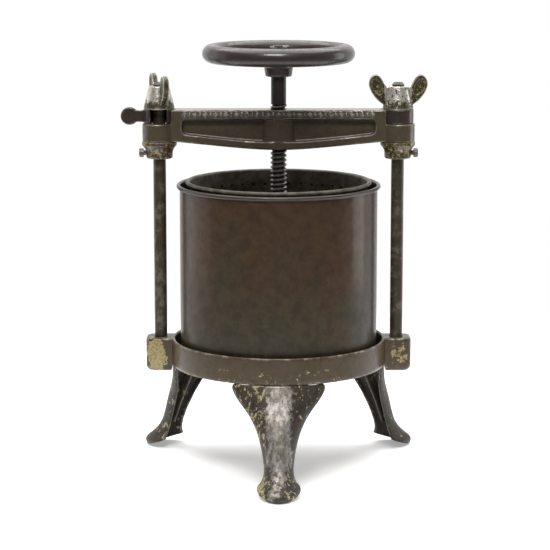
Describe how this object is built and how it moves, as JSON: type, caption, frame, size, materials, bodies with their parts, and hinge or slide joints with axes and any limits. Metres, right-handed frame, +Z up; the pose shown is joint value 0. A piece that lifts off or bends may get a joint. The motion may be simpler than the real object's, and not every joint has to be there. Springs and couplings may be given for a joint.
{
  "type": "tabletop screw press",
  "caption": "Tabletop screw press: tripod cast tray, posts and crossbar, handwheel screw with follower plate, pierced basket inside a plain jacket.",
  "frame": {"origin": "on the ground, on the axis of the press screw", "axes": "+Z up along the screw, +X towards the post with the plain ring, -Y towards the front leg"},
  "size_m": [0.3005, 0.263, 0.4183],
  "materials": {
    "japanned_iron": "aged dark brown japan over cast iron, worn at edges, semi-gloss",
    "leg_iron": "cast iron with the paint mostly worn away, grey metal with cream and green flecks",
    "wheel_iron": "purple-brown japan, polished by hands, glossy",
    "bar_iron": "grey-brown aged paint over cast iron, dusty in the hollows",
    "ring_iron": "dark purple-brown paint over turned iron, satin",
    "gilt_iron": "remains of gold paint over dark cast iron",
    "nut_iron": "worn bright iron with remains of gold paint",
    "post_steel": "brown aged steel bar, satin",
    "screw_steel": "dark oiled steel with polished thread crests",
    "jacket_sheet": "dark brown japan on sheet iron, mottled, semi-gloss",
    "basket_sheet": "grey-brown tinned sheet, tarnished and stained, satin",
    "fixing_steel": "old steel screws and nuts, dark in the slots"
  },
  "bodies": {
    "frame": {"base_tray": "japanned_iron", "leg_front": "leg_iron", "leg_rear_left": "leg_iron", "leg_rear_right": "leg_iron", "leg_screws": "fixing_steel", "leg_nuts": "fixing_steel", "post_left": "post_steel", "post_right": "post_steel", "crossbar": "bar_iron", "pivot_ring": "ring_iron"},
    "follower": {"follower_plate": "japanned_iron", "swivel_plates": "fixing_steel", "swivel_screws": "fixing_steel"},
    "screw": {"press_screw": "screw_steel", "handwheel": "wheel_iron", "wheel_nut": "fixing_steel"},
    "wing_nut_left": {"wing_nut_left": "nut_iron"},
    "wing_nut_right": {"wing_nut_right": "nut_iron"},
    "latch": {"latch_ring": "ring_iron"},
    "collar_left": {"collar_left": "gilt_iron", "collar_screw_left": "fixing_steel"},
    "collar_right": {"collar_right": "gilt_iron", "collar_screw_right": "fixing_steel"},
    "jacket": {"jacket": "jacket_sheet", "jacket_rim_wire": "fixing_steel"},
    "basket": {"basket_wall": "basket_sheet", "basket_bottom": "basket_sheet", "basket_rim_wire": "fixing_steel"}
  },
  "joints": [
    {"name": "press_travel", "type": "slide", "parent": "frame", "child": "follower", "axis": [0, 0, 1], "range_m": [-0.0281, 0.1161]},
    {"name": "wheel_turn", "type": "hinge", "parent": "follower", "child": "screw", "pos_m": [0, 0, 0.183], "axis": [0, 0, 1], "range_deg": [-2240, 9280]},
    {"name": "wing_nut_left_turn", "type": "hinge", "parent": "frame", "child": "wing_nut_left", "pos_m": [-0.117, 0, 0.3555], "axis": [0, 0, 1], "range_deg": [0, 360]},
    {"name": "wing_nut_right_turn", "type": "hinge", "parent": "frame", "child": "wing_nut_right", "pos_m": [0.117, 0, 0.3555], "axis": [0, 0, 1], "range_deg": [0, 360]},
    {"name": "latch_turn", "type": "hinge", "parent": "frame", "child": "latch", "pos_m": [-0.117, 0, 0.348], "axis": [0, 0, 1], "range_deg": [-125, 125]},
    {"name": "collar_left_slide", "type": "slide", "parent": "frame", "child": "collar_left", "axis": [0, 0, 1], "range_m": [-0.02, 0]},
    {"name": "collar_right_slide", "type": "slide", "parent": "frame", "child": "collar_right", "axis": [0, 0, 1], "range_m": [-0.02, 0]},
    {"name": "jacket_lift", "type": "slide", "parent": "frame", "child": "jacket", "axis": [0, 0, 1], "range_m": [0, 0.012]},
    {"name": "basket_lift", "type": "slide", "parent": "frame", "child": "basket", "axis": [0, 0, 1], "range_m": [0, 0.012]}
  ],
  "couplings": [
    {"joint": "press_travel", "follows": "wheel_turn", "m_per_rad": 0.0007162}
  ]
}
